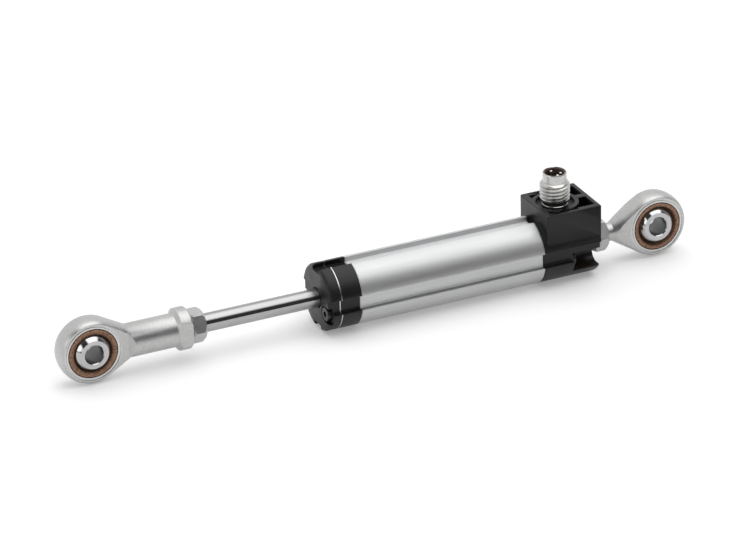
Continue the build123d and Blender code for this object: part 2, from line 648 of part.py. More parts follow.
# The front rod end is turned from bar: a sphere for the eye, a cone, a shank and a
# collar. Then both sides are milled flat, and the flats run out on the shank.
FRONT_START, FRONT_START_R = cone_start(FRONT_LEAN)
SHANK_START = cone_end(FRONT_LEAN, SHANK_R)
RUNOUT = SHANK_START - 0.5
with BuildPart() as front_rod_end:
    with BuildSketch(Plane.XY):
        with BuildLine():
            CenterArc((FRONT_BALL_X, 0), EYE_R, 90 - FRONT_LEAN, 90 + FRONT_LEAN)
            Polyline(
                (FRONT_BALL_X + FRONT_START, FRONT_START_R),
                (FRONT_BALL_X + SHANK_START, SHANK_R),
                (FRONT_BALL_X + COLLAR_FRONT, SHANK_R),
                (FRONT_BALL_X + COLLAR_FRONT + 0.9, COLLAR_R),
                (FRONT_BALL_X + SOCKET_LENGTH - 0.5, COLLAR_R),
                (FRONT_BALL_X + SOCKET_LENGTH, COLLAR_R - 0.5),
                (FRONT_BALL_X + SOCKET_LENGTH, 0),
                (FRONT_BALL_X - EYE_R, 0),
            )
        make_face()
    revolve(axis=Axis.X)
    for side in (-1, 1):
        with BuildSketch(Plane.XY.offset(-2 * EYE_R)):
            with BuildLine():
                Polyline(
                    (FRONT_BALL_X - 2 * EYE_R, side * EYE_HALF),
                    (FRONT_BALL_X + RUNOUT, side * EYE_HALF),
                    (FRONT_BALL_X + RUNOUT + EYE_R, side * (EYE_HALF + EYE_R)),
                    (FRONT_BALL_X - 2 * EYE_R, side * (EYE_HALF + EYE_R)),
                    (FRONT_BALL_X - 2 * EYE_R, side * EYE_HALF),
                )
            make_face()
        extrude(amount=4 * EYE_R, mode=Mode.SUBTRACT)
    # Spanner flats on the collar.
    for side in (-1, 1):
        with BuildSketch(station(FRONT_BALL_X + COLLAR_FRONT - 0.5)):
            with Locations((side * (COLLAR_AF + COLLAR_R) / 2, 0)):
                Rectangle(COLLAR_R, 3 * COLLAR_R)
        extrude(amount=SOCKET_LENGTH - COLLAR_FRONT + COLLAR_R, mode=Mode.SUBTRACT)
    with BuildSketch(station(SOCKET_END)):
        Circle(ROD_R + SEATED)
    extrude(amount=-THREAD_DEPTH, mode=Mode.SUBTRACT)
finish_eye(FRONT_BALL_X, front_rod_end.part, "front_rod_end")

# The rear rod end: the same eye on a steeper cone that ends in a threaded stud.
REAR_START, REAR_START_R = cone_start(REAR_LEAN)
STUD_NECK = cone_end(REAR_LEAN, ROD_R)
with BuildPart() as rear_rod_end:
    with BuildSketch(Plane.XY):
        with BuildLine():
            CenterArc((0, 0), EYE_R, 0, 90 + REAR_LEAN)
            Polyline(
                (-REAR_START, REAR_START_R),
                (-STUD_NECK, ROD_R),
                (-STUD_LENGTH + 0.5, ROD_R),
                (-STUD_LENGTH, ROD_R - 0.5),
                (-STUD_LENGTH, 0),
                (EYE_R, 0),
            )
        make_face()
    revolve(axis=Axis.X)
    for side in (-1, 1):
        with BuildSketch(station(-STUD_NECK - 0.5)):
            with Locations((side * (EYE_HALF + EYE_R / 2), 0)):
                Rectangle(EYE_R, 3 * EYE_R)
        extrude(amount=STUD_NECK + EYE_R + 1, mode=Mode.SUBTRACT)
finish_eye(0.0, rear_rod_end.part, "rear_rod_end")


def make_race(ball_x, lip):
    """The bronze ring in the eye, hollowed to the ball, with a bevel of this width."""
    with BuildPart() as race:
        with BuildSketch(flank(ball_x, EYE_HALF - SEATED)):
            Circle(RACE_R)
        extrude(amount=2 * (EYE_HALF - SEATED))
        with Locations((ball_x, 0, 0)):
            Sphere(BALL_R + RUNNING, mode=Mode.SUBTRACT)
        race_mouths = race.edges().filter_by(GeomType.CIRCLE)
        race_mouths = race_mouths.filter_by(lambda e: e.radius < RACE_R - 0.5)
        chamfer(race_mouths, lip)
    return race.part


finish(make_race(FRONT_BALL_X, 0.55), "front_race")
finish(make_race(0.0, 0.9), "rear_race")


def make_ball():
    """A ball with two flat faces and a bore along its own Z axis."""
    with BuildPart() as ball:
        Sphere(BALL_R)
        Cylinder(BALL_R + 1, 2 * BALL_HALF, mode=Mode.INTERSECT)
        Cylinder(ROD_R, 2 * BALL_HALF + 1, mode=Mode.SUBTRACT)
        bore_mouths = ball.edges().filter_by(GeomType.CIRCLE)
        bore_mouths = bore_mouths.filter_by(lambda e: e.radius < ROD_R + 0.1)
        chamfer(bore_mouths, 0.2)
    return ball.part


# The front ball is straight in its eye; the rear one leans a little, as photographed.
straight = Plane(origin=(FRONT_BALL_X, 0, 0), x_dir=(1, 0, 0), z_dir=(0, -1, 0))
finish(make_ball().moved(straight.location), "front_ball")
leaning = Plane(origin=(0, 0, 0), x_dir=(1, 0, 0), z_dir=REAR_BALL_AXIS)
finish(make_ball().moved(leaning.location), "rear_ball")

# Three leads run from the board through the block, each in line with its pin, and turn
# up to it.
with BuildPart() as lead_wires:
    low = BOARD_BOTTOM + LEAD_R + SEATED
    for angle in PIN_ANGLES:
        pin = Vector(PLUG_X, 0, 0) + Vector(PIN_CIRCLE, 0, 0).rotate(Axis.Z, angle)
        with BuildLine(flank(0, pin.Y)) as path:
            run = Line((BOARD_REAR + SEATED, low), (pin.X - LEAD_BEND, low))
            bend = JernArc(run @ 1, run % 1, LEAD_BEND, 90)
            Line(bend @ 1, (pin.X, STEM_BOTTOM - PIN_TAIL))
        with BuildSketch(Plane(origin=path.line @ 0, z_dir=path.line % 0)):
            Circle(LEAD_R)
        sweep(path=path.line)
finish(lead_wires.part, "lead_wires")
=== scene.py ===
# %% [markdown]
# A linear potentiometer is a slim sensor: a grooved aluminium body, a ground rod that
# slides in its front end, a rod end on each side and a round plug on top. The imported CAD
# model is already the right size and shape, so it is loaded first and never moved. What
# Blender adds is finish, light and the fine forms, such as the thread of the plug.

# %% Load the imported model
import json
import math

import bpy
from mathutils import Matrix, Vector

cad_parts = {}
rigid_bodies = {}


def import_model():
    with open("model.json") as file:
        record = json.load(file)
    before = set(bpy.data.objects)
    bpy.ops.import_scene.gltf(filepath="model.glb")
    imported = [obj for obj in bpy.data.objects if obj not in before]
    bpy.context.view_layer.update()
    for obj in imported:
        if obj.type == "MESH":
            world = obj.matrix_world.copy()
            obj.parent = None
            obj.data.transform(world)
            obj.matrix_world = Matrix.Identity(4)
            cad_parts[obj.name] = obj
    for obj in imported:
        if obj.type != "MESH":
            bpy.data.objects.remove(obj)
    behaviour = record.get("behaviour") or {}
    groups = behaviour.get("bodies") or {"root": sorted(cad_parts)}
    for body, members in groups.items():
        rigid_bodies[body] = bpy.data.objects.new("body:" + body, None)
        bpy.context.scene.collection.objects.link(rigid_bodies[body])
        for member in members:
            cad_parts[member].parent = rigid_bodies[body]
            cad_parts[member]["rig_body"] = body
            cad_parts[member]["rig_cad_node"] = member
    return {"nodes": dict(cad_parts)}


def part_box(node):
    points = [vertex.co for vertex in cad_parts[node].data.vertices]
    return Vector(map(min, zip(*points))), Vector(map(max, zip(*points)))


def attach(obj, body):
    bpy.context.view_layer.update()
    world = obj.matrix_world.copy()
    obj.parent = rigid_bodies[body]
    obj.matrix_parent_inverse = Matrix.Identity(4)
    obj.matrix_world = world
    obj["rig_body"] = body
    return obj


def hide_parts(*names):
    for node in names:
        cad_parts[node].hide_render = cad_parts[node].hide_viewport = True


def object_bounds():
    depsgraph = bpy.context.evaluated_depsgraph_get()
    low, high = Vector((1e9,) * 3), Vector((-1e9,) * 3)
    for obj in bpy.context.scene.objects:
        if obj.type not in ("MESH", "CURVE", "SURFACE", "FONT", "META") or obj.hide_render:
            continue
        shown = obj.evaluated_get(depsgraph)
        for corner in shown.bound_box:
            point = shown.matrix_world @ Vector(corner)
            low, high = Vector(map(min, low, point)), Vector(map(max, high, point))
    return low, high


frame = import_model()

cad_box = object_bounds()
nodes = frame["nodes"]
print("CAD nodes", len(nodes), "box", [[round(v, 4) for v in corner] for corner in cad_box])

# %% [markdown]
# A finish is a shader with a few layers over it. The base is one Principled shader with
# the plain metal or plastic. The layers are small helpers that each add one thing that a
# hand or a machine leaves behind, and they all work by adding nodes and joining them.

# %% Start a finish
def new_finish(name, colour, metallic, roughness):
    material = bpy.data.materials.new(name)
    material.use_nodes = True
    shader = shader_of(material)
    shader.inputs["Base Color"].default_value = (*colour, 1)
    shader.inputs["Metallic"].default_value = metallic
    shader.inputs["Roughness"].default_value = roughness
    return material


def shader_of(material):
    return material.node_tree.nodes["Principled BSDF"]


def add(material, kind, **settings):
    node = material.node_tree.nodes.new(kind)
    for key, value in settings.items():
        if key in node.inputs:
            node.inputs[key].default_value = value
        else:
            setattr(node, key, value)
    return node


def join(material, output, target):
    material.node_tree.links.new(output, target)


print("helpers for a finish: new_finish, shader_of, add, join")

# %% [markdown]
# A mark has to stay where it is when the piece moves, so every pattern reads Object
# coordinates. Scaling them unevenly stretches noise into draw lines or turning rings.
# Noise seldom leaves the range from 0.3 to 0.7, so that range is spread to the wanted one.

# %% Place a pattern
def place(material, scale, centre=(0, 0, 0)):
    coords = add(material, "ShaderNodeTexCoord")
    mapping = add(material, "ShaderNodeMapping", vector_type="POINT")
    mapping.inputs["Scale"].default_value = scale
    mapping.inputs["Location"].default_value = tuple(-c * s for c, s in zip(centre, scale))
    join(material, coords.outputs["Object"], mapping.inputs["Vector"])
    return mapping.outputs["Vector"]


def noise(material, vector, scale, detail=3.0, rough=0.55):
    node = add(material, "ShaderNodeTexNoise", Scale=scale, Detail=detail, Roughness=rough)
    join(material, vector, node.inputs["Vector"])
    return node.outputs["Fac"]


def even_noise(material, size, scale=1.0, detail=3.0, rough=0.55):
    return noise(material, place(material, (size, size, size)), scale, detail, rough)


def spread(material, value, low, high, start=0.3, end=0.7):
    node = add(material, "ShaderNodeMapRange")
    node.inputs["From Min"].default_value = start
    node.inputs["From Max"].default_value = end
    node.inputs["To Min"].default_value = low
    node.inputs["To Max"].default_value = high
    join(material, value, node.inputs["Value"])
    return node.outputs["Result"]


print("helpers for a pattern: place, noise, even_noise, spread")

# %% [markdown]
# A layer changes one thing in the base shader: its colour, how polished it is, or how
# rough it feels. Each is a function, so a finish below reads as a short list of layers.
# Relief is a bump, which bends the light and not the surface. That suits marks of a few
# hundredths of a millimetre at most. What is deeper is made as real shape further down.

# %% The layers
def tone(material, value, dark, light, start=0.3, end=0.7):
    ramp = add(material, "ShaderNodeValToRGB")
    ramp.color_ramp.elements[0].position = start
    ramp.color_ramp.elements[0].color = (*dark, 1)
    ramp.color_ramp.elements[1].position = end
    ramp.color_ramp.elements[1].color = (*light, 1)
    join(material, value, ramp.inputs["Fac"])
    join(material, ramp.outputs["Color"], shader_of(material).inputs["Base Color"])


def polish(material, value, low, high, start=0.3, end=0.7):
    dullness = spread(material, value, low, high, start, end)
    join(material, dullness, shader_of(material).inputs["Roughness"])


def relief(material, value, depth, strength=1.0):
    bump = add(material, "ShaderNodeBump", Strength=strength, Distance=depth)
    join(material, value, bump.inputs["Height"])
    target = shader_of(material).inputs["Normal"]
    if target.is_linked:
        join(material, target.links[0].from_socket, bump.inputs["Normal"])
    join(material, bump.outputs["Normal"], target)


print("layers: tone, polish, relief")

# %% [markdown]
# The body is drawn aluminium with a clear anodised skin. Drawing leaves fine lines along
# the length, and the skin spreads the light a little. A picture of such lines would show
# a seam where it ends. Noise that is stretched along X has no end and never repeats.

# %% Drawn and anodised aluminium
anodised = new_finish("anodised_tube", (0.54, 0.545, 0.55), 1.0, 0.42)
lines = noise(anodised, place(anodised, (12, 900, 900)), 3.0, 4.0, 0.6)
streaks = noise(anodised, place(anodised, (60, 500, 500)), 1.5)
tone(anodised, streaks, (0.80, 0.805, 0.81), (0.84, 0.845, 0.85))
polish(anodised, lines, 0.44, 0.50)
relief(anodised, lines, 0.000001, 0.25)
relief(anodised, even_noise(anodised, 9000, 1.0, 2.0), 0.000001, 0.25)
print(anodised.name, "draws its lines along X")

# %% [markdown]
# Die, lathe and grinding wheel all leave their marks by the distance from an axis. A
# pattern that knows this distance, and the place along the axis, can follow them on any
# round piece. A mask made from it then darkens the colour that is already there.

# %% Measure from an axis and darken by a mask
def around(material, axis, centre):
    vector = place(material, (1, 1, 1), centre)
    flat = [1, 1, 1]
    flat[axis] = 0
    across = add(material, "ShaderNodeVectorMath", operation="MULTIPLY")
    across.inputs[1].default_value = flat
    join(material, vector, across.inputs[0])
    length = add(material, "ShaderNodeVectorMath", operation="LENGTH")
    join(material, across.outputs["Vector"], length.inputs[0])
    parts = add(material, "ShaderNodeSeparateXYZ")
    join(material, vector, parts.inputs[0])
    both = add(material, "ShaderNodeCombineXYZ")
    join(material, length.outputs["Value"], both.inputs["X"])
    join(material, parts.outputs[axis], both.inputs["Y"])
    return both.outputs["Vector"]


def shade(material, value):
    # The Mix node has several sockets called A, B and Result. These are its colour ones.
    colour_a, colour_b, colour_result = 6, 7, 2
    target = shader_of(material).inputs["Base Color"]
    mix = add(material, "ShaderNodeMix", data_type="RGBA", blend_type="MULTIPLY")
    mix.inputs["Factor"].default_value = 1.0
    join(material, target.links[0].from_socket, mix.inputs[colour_a])
    join(material, value, mix.inputs[colour_b])
    join(material, mix.outputs[colour_result], target)


print("helpers for a round piece: around, shade")

# %% [markdown]
# The die polishes the lobes, but hardly touches the four grooves, so their floors are matt.
# The floors also get a paler colour, a painted light, and the walls of the side grooves get
# painted shade. Faces painted by hand would be lost with each change of the CAD model.
# Instead, the distance from the axis tells floor, wall and lobe apart, and height keeps the
# painted shade off the walls of the top groove.

# %% Tell the grooves from the lobes
floor_edge, wall_foot = 0.00757, 0.0077
wall_head, lobe_skin = 0.0087, 0.0089
side_top, top_foot = 0.004, 0.006

from_axis = add(anodised, "ShaderNodeSeparateXYZ")
join(anodised, around(anodised, 0, (0, 0, 0)), from_axis.inputs[0])
radius = from_axis.outputs["X"]
height = add(anodised, "ShaderNodeSeparateXYZ")
join(anodised, place(anodised, (1, 1, 1)), height.inputs[0])

bare_metal = spread(anodised, radius, 0.30, 0.93, floor_edge, wall_foot)
join(anodised, bare_metal, shader_of(anodised).inputs["Metallic"])
# Painted light: the groove floors keep the full colour, and the rest is darkened to 0.68 of
# it.
shade(anodised, spread(anodised, radius, 1.0, 0.68, floor_edge, wall_foot))
# Painted shade: the walls of the side grooves are darkened to 0.58, while the floors and the
# top groove are left out.
painted_wall_shade = spread(anodised, radius, 0.58, 1.0, wall_head, lobe_skin)
on_floor = spread(anodised, radius, 1.0, 0.0, floor_edge, wall_foot)
on_top = spread(anodised, height.outputs["Z"], 0.0, 1.0, side_top, top_foot)
for mask in (on_floor, on_top):
    most = add(anodised, "ShaderNodeMath", operation="MAXIMUM")
    join(anodised, painted_wall_shade, most.inputs[0])
    join(anodised, mask, most.inputs[1])
    painted_wall_shade = most.outputs["Value"]
shade(anodised, painted_wall_shade)
print(anodised.name, "changes between", floor_edge, "and", lobe_skin, "m from its axis")

# %% [markdown]
# The thin plate between the two black pieces is ground steel, and only its edge shows. A
# plain grey would do from afar. Close by it needs a fine grain, so noise is squeezed
# along Z.

# %% Ground plate
shim = new_finish("shim_plate", (0.52, 0.52, 0.52), 1.0, 0.3)
grind = noise(shim, place(shim, (400, 400, 3000)), 2.0)
tone(shim, grind, (0.48, 0.48, 0.48), (0.56, 0.56, 0.56))
polish(shim, grind, 0.24, 0.36)
print(shim.name, "is ready")

# %% [markdown]
# The end pieces are black glass-filled nylon. Its skin is nearly smooth, with a fine
# grain from the mould and slightly duller patches where the melt flowed. One even black
# would hide their shape, so slow noise moves the polish and fast noise makes the grain.
# The two seals are soft rubber, which is duller still.

# %% Black moulded plastic and rubber
polymer = new_finish("black_polymer", (0.008, 0.008, 0.009), 0.0, 0.42)
shader_of(polymer).inputs["Specular IOR Level"].default_value = 0.36
flow = even_noise(polymer, 220)
tone(polymer, flow, (0.006, 0.006, 0.007), (0.010, 0.010, 0.011))
polish(polymer, flow, 0.36, 0.46)
relief(polymer, even_noise(polymer, 7000, 1.0, 2.0), 0.000006, 0.4)

rubber = new_finish("rubber_black", (0.02, 0.02, 0.02), 0.0, 0.6)
tone(rubber, even_noise(rubber, 900), (0.015, 0.015, 0.015), (0.028, 0.028, 0.028))
relief(rubber, even_noise(rubber, 5000), 0.00001, 0.4)
print(polymer.name, "and", rubber.name, "are ready")

# %% [markdown]
# The rod is ground and polished, so it mirrors the studio in clean bands. The wheel runs
# round the rod, and its rings blur the bands along the length only. Plain roughness would
# blur them every way. So the shader is anisotropic, with a tangent that runs round the X
# axis and is turned by a quarter.

# %% Ground steel
ground = new_finish("rod_steel", (0.38, 0.38, 0.385), 1.0, 0.19)
rings = noise(ground, place(ground, (9000, 120, 120)), 1.0, 3.0)
polish(ground, rings, 0.17, 0.21)
round_it = add(ground, "ShaderNodeTangent", direction_type="RADIAL", axis="X")
join(ground, round_it.outputs["Tangent"], shader_of(ground).inputs["Tangent"])
shader_of(ground).inputs["Anisotropic"].default_value = 0.95
shader_of(ground).inputs["Anisotropic Rotation"].default_value = 0.25
tone(ground, even_noise(ground, 150), (0.37, 0.37, 0.375), (0.39, 0.39, 0.395))
relief(ground, rings, 0.0000006, 0.3)
print(ground.name, "is ground round X")

# %% [markdown]
# Each rod end has an eye with a ring and a ball in it, and their marks follow the eye's
# own centre. Two sets of materials would do, one for each eye. Here one set serves both:
# the absolute value of the coordinates, taken from the middle between the eyes, lays one
# eye over the other.

# %% Measure from an eye
front_ball_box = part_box("front_ball")
half_span = abs(front_ball_box[0][0] + front_ball_box[1][0]) / 4


def from_ball(material, directions):
    vector = place(material, (1, 1, 1), (-half_span, 0, 0))
    folded = add(material, "ShaderNodeVectorMath", operation="ABSOLUTE")
    join(material, vector, folded.inputs[0])
    moved = add(material, "ShaderNodeVectorMath", operation="SUBTRACT")
    moved.inputs[1].default_value = (half_span, 0, 0)
    join(material, folded.outputs["Vector"], moved.inputs[0])
    flat = add(material, "ShaderNodeVectorMath", operation="MULTIPLY")
    flat.inputs[1].default_value = directions
    join(material, moved.outputs["Vector"], flat.inputs[0])
    length = add(material, "ShaderNodeVectorMath", operation="LENGTH")
    join(material, flat.outputs["Vector"], length.inputs[0])
    return length.outputs["Value"]


print("half the distance between the eyes", round(half_span, 4))

# %% [markdown]
# Rod ends and nuts are turned or forged steel with a bright zinc coat. The coat is satin and
# lies over the marks of the tool. Slow noise makes it cloudy and fast noise speckles it. The
# lip round each bearing ring is given a lighter colour than the rest of the eye.

# %% Zinc-plated steel
lip_edge, flank_start = 0.0076, 0.0079

zinc = new_finish("zinc_steel", (0.50, 0.50, 0.495), 0.92, 0.4)
cloud = even_noise(zinc, 500, 1.0, 4.0, 0.6)
tone(zinc, cloud, (0.62, 0.62, 0.615), (0.70, 0.70, 0.695))
# The colour stays light within lip_edge of the eye's axis and is darker beyond it.
shade(zinc, spread(zinc, from_ball(zinc, (1, 0, 1)), 1.0, 0.75, lip_edge, flank_start))
polish(zinc, cloud, 0.34, 0.44)
relief(zinc, even_noise(zinc, 1500), 0.00001, 0.4)
speckle = even_noise(zinc, 2600, 1.0, 2.0)
shade(zinc, spread(zinc, speckle, 0.92, 1.06, 0.35, 0.65))
print(zinc.name, "has its bright lip within", lip_edge, "m of the eye's axis")

# %% [markdown]
# The ring in each eye is sintered bronze, which is pressed from powder: brown, with dark
# open pores. Modelled pores would cost many faces, so fine noise with a steep ramp gives
# them. The seam at the outer edge and the throat round the ball lie in shadow, so both get
# painted shade.

# %% Sintered bronze
throat, throat_end = 0.0051, 0.0061
seam, seam_end = 0.00645, 0.0066

bronze = new_finish("race_bronze", (0.36, 0.205, 0.13), 0.6, 0.5)
grains = even_noise(bronze, 2600, 1.0, 3.0, 0.7)
tone(bronze, grains, (0.14, 0.075, 0.045), (0.46, 0.265, 0.17), 0.36, 0.6)
polish(bronze, grains, 0.42, 0.7)
relief(bronze, grains, 0.00002, 0.5)
across_ring = from_ball(bronze, (1, 0, 1))
# Painted shade: the seam at the outer edge goes dark, and the throat round the ball is
# darkened.
shade(bronze, spread(bronze, across_ring, 1.0, 0.08, seam, seam_end))
shade(bronze, spread(bronze, across_ring, 0.40, 1.0, throat, throat_end))
print(bronze.name, "is darkest beyond", seam, "m")

# %% [markdown]
# The plain bush in the front ring is the same kind of bronze with less oil in it. Its
# ramp is softer, so its pores stand out less.

# %% Bush bronze
bush = new_finish("bush_bronze", (0.34, 0.22, 0.12), 0.8, 0.45)
pores = even_noise(bush, 4000, 1.0, 3.0, 0.7)
tone(bush, pores, (0.2, 0.12, 0.06), (0.42, 0.27, 0.15))
relief(bush, pores, 0.00001, 0.5)
print(bush.name, "is ready")

# %% [markdown]
# The balls are hard chromed and nearly mirrors. Their bores are only drilled, so they are
# duller, and their colour is darkened as painted shade in the recess. The bore is the part
# of a ball that lies closest to its centre, so the distance from there tells the two apart.

# %% Hard chromed balls
bore_wall, ball_skin = 0.00456, 0.0046

chrome = new_finish("ball_chrome", (0.45, 0.45, 0.455), 1.0, 0.06)
haze = even_noise(chrome, 700, 1.0, 4.0)
bored = from_ball(chrome, (1, 1, 1))
polish(chrome, bored, 0.42, 0.09, bore_wall, ball_skin)
tone(chrome, haze, (0.43, 0.43, 0.435), (0.48, 0.48, 0.485))
# Painted shade: the colour of the bore is darkened to 0.30.
shade(chrome, spread(chrome, bored, 0.30, 1.0, bore_wall, ball_skin))
relief(chrome, even_noise(chrome, 1200, 1.0, 2.0), 0.0000015, 0.2)
print(chrome.name, "is dull within", bore_wall, "m of the ball's centre")

# %% [markdown]
# The plug is turned brass with a bright nickel coat. Its turning rings run round the
# plug's own upright axis, so they are measured from there and not from the origin. The
# insert is brown plastic and the contact pins are silvered.

# %% Plug finishes
plug_x = -28.8

nickel = new_finish("nickel_shell", (0.45, 0.445, 0.43), 1.0, 0.28)
turned = noise(nickel, around(nickel, 2, (plug_x / 1000, 0, 0)), 4000.0, 2.0)
polish(nickel, turned, 0.20, 0.30)
tone(nickel, even_noise(nickel, 600), (0.49, 0.487, 0.475), (0.56, 0.556, 0.544))
relief(nickel, turned, 0.000002, 0.25)

brown = new_finish("connector_brown", (0.09, 0.055, 0.042), 0.0, 0.45)
tone(brown, even_noise(brown, 1500), (0.07, 0.042, 0.032), (0.11, 0.068, 0.052))
relief(brown, even_noise(brown, 6000), 0.00001, 0.4)

silver = new_finish("pin_silver", (0.70, 0.68, 0.63), 1.0, 0.2)
polish(silver, even_noise(silver, 3000), 0.14, 0.3)
tone(silver, even_noise(silver, 2000), (0.65, 0.63, 0.58), (0.75, 0.73, 0.68))
print("plug finishes", nickel.name, brown.name, silver.name)

# %% [markdown]
# The threaded insert in the rear block is plain brass. The small screws are blackened
# steel with a trace of oil. Oil changes tone and polish at once, so one noise moves both.

# %% Insert and screws
brass = new_finish("insert_brass", (0.55, 0.40, 0.17), 1.0, 0.3)
tone(brass, even_noise(brass, 1200), (0.48, 0.34, 0.14), (0.6, 0.44, 0.2))

screws = new_finish("screw_steel", (0.06, 0.06, 0.062), 1.0, 0.38)
oil = even_noise(screws, 2500)
tone(screws, oil, (0.045, 0.045, 0.047), (0.08, 0.08, 0.082))
polish(screws, oil, 0.32, 0.45)
print(brass.name, "and", screws.name, "are ready")

# %% [markdown]
# The inside is hidden, but a reader may lift the body away, so its pieces get their own
# finishes too: a woven board, black tracks, red leads, a pale carriage and springs. They
# stay simple, with a noise or two each.

# %% Inside finishes
board = new_finish("board", (0.05, 0.12, 0.06), 0.0, 0.5)
weave = noise(board, place(board, (1500, 1500, 200)), 1.0)
tone(board, weave, (0.035, 0.1, 0.05), (0.07, 0.15, 0.08))

track = new_finish("track_black", (0.012, 0.012, 0.013), 0.0, 0.35)
smear = noise(track, place(track, (200, 4000, 4000)), 1.0)
tone(track, smear, (0.008, 0.008, 0.009), (0.02, 0.02, 0.021))

lead = new_finish("lead_insulation", (0.35, 0.02, 0.015), 0.0, 0.4)
tone(lead, even_noise(lead, 900), (0.3, 0.015, 0.012), (0.42, 0.03, 0.02))

carriage = new_finish("carriage_polymer", (0.5, 0.48, 0.42), 0.0, 0.45)
tone(carriage, even_noise(carriage, 700), (0.45, 0.43, 0.37), (0.56, 0.54, 0.48))

spring = new_finish("spring_contact", (0.62, 0.48, 0.25), 1.0, 0.25)
polish(spring, even_noise(spring, 3000), 0.18, 0.32)
tone(spring, even_noise(spring, 1000), (0.58, 0.44, 0.22), (0.66, 0.52, 0.3))
print("inside finishes", board.name, track.name, lead.name, carriage.name, spring.name)

# %% [markdown]
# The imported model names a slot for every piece, such as zinc_steel. Pieces could be
# painted one by one. But each finish has the name of its slot, so a short loop can look
# one up by the other, and no piece is forgotten.

# %% Paint every CAD node by its slot
finishes = [anodised, shim, polymer, rubber, ground, zinc, bronze, bush, chrome, nickel,
            brown, silver, brass, screws, board, track, lead, carriage, spring]
by_slot = {finish.name.split(".")[0]: finish for finish in finishes}
for name, node in nodes.items():
    for slot in node.material_slots:
        slot.material = by_slot[slot.material.name.split(".")[0]]
print("finishes", len(by_slot))

# %% [markdown]
# An operator acts on all that is selected, and the loaded nodes are selected, so a piece
# is always taken alone. A modifier is applied once it is right, so that the piece leaves
# Blender with the shape that it shows.

# %% Helpers for handling a piece
def deselect():
    bpy.ops.object.select_all(action="DESELECT")


def take(piece):
    deselect()
    piece.select_set(True)
    bpy.context.view_layer.objects.active = piece


def apply_modifiers(piece):
    take(piece)
    for modifier in list(piece.modifiers):
        bpy.ops.object.modifier_apply(modifier=modifier.name)


def smooth(piece, degrees):
    take(piece)
    bpy.ops.object.shade_smooth_by_angle(angle=math.radians(degrees))


print("helpers for a piece: deselect, take, apply_modifiers, smooth")

# %% [markdown]
# No real edge is a sharp line: a mould leaves a small round and a plated edge is tumbled.
# Light catches there first. In the CAD model such narrow rounds would cost many faces. So
# each of the larger pieces is copied here, its loose triangles are merged at their
# corners, and its sharp edges get a narrow bevel. Hardened normals keep the flats flat
# right up to the round.

# %% Soften the edges of a copy
weld = 0.000002


def soften(name, width, degrees=32, segments=2):
    node = nodes[name]
    take(node)
    bpy.ops.object.duplicate()
    piece = bpy.context.active_object
    piece.name = name + "_soft"
    # The copy isn't a CAD node, so it gives up the mark of one.
    del piece["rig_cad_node"]
    bpy.ops.mesh.customdata_custom_splitnormals_clear()
    bpy.ops.object.mode_set(mode="EDIT")
    bpy.ops.mesh.select_all(action="SELECT")
    bpy.ops.mesh.remove_doubles(threshold=weld)
    bpy.ops.mesh.normals_make_consistent(inside=False)
    bpy.ops.object.mode_set(mode="OBJECT")
    smooth(piece, degrees)
    bevel = piece.modifiers.new("edges", "BEVEL")
    bevel.limit_method = "ANGLE"
    bevel.angle_limit = math.radians(degrees)
    bevel.width = width
    bevel.segments = segments
    bevel.use_clamp_overlap = False
    bevel.loop_slide = False
    bevel.harden_normals = True
    apply_modifiers(piece)
    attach(piece, node["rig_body"])
    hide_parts(name)
    print(piece.name, len(piece.data.polygons), "faces")


print("corners closer than", weld, "m are merged")

# %% [markdown]
# The widths are those of the real edges: about a fifth of a millimetre on the moulded
# block and the drawn body, half of that on the small mouldings, and less on plated steel.

# %% Soften the visible pieces
edge_widths = {
    "rear_block": 0.00023, "front_flange": 0.00012, "front_ring": 0.00010,
    "profile_tube": 0.00020, "front_rod_end": 0.00006, "rear_rod_end": 0.00006,
    "front_lock_nut": 0.00008, "rear_lock_nut": 0.00008,
}
for name, width in edge_widths.items():
    soften(name, width)

# %% [markdown]
# The plug is turned from brass bar: a nose, a thread, a neck, a thin rim and the stem in
# the block. A stack of cylinders would have seams between them. A lathe makes it in one
# piece, and a lathe is a spin here: one vertex is drawn out along the outline, and the
# line is spun once round the axis.

# %% Helpers for turned pieces
def mm(*values):
    return tuple(v / 1000 for v in values)


def draw_outline(name, points):
    deselect()
    bpy.ops.mesh.primitive_plane_add(size=0.001, location=(0, 0, 0))
    piece = bpy.context.active_object
    piece.name = name
    bpy.ops.object.mode_set(mode="EDIT")
    bpy.ops.mesh.select_all(action="SELECT")
    bpy.ops.mesh.merge(type="CENTER")
    bpy.ops.transform.translate(value=Vector(points[0]))
    for start, end in zip(points[:-1], points[1:]):
        step = Vector(end) - Vector(start)
        bpy.ops.mesh.extrude_region_move(TRANSFORM_OT_translate={"value": step})
    return piece


def spin_outline(centre, axis, steps):
    bpy.ops.mesh.select_all(action="SELECT")
    bpy.ops.mesh.spin(steps=steps, angle=2 * math.pi, center=centre, axis=axis)
    bpy.ops.mesh.select_all(action="SELECT")
    bpy.ops.mesh.remove_doubles(threshold=weld)
    bpy.ops.mesh.normals_make_consistent(inside=False)
    bpy.ops.object.mode_set(mode="OBJECT")


print("helpers for turning: mm, draw_outline, spin_outline")

# %% [markdown]
# The outline is read in millimetres, as radius and height, from the foot of the stem up
# the outside, over the nose and down the bore. Millimetres are what a drawing of a plug
# gives, and mm turns them into metres. The ends of the stem and of the nose come from the
# CAD shell that this piece replaces.

# %% Turn the plug's bar
shell_low, shell_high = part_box("connector_shell")
stem_foot = shell_low[2] * 1000
nose_top = shell_high[2] * 1000
bore, stem, neck, root, rim, crest = 2.88, 3.2, 3.35, 3.4, 3.45, 4.0
crest_edge = 3.95

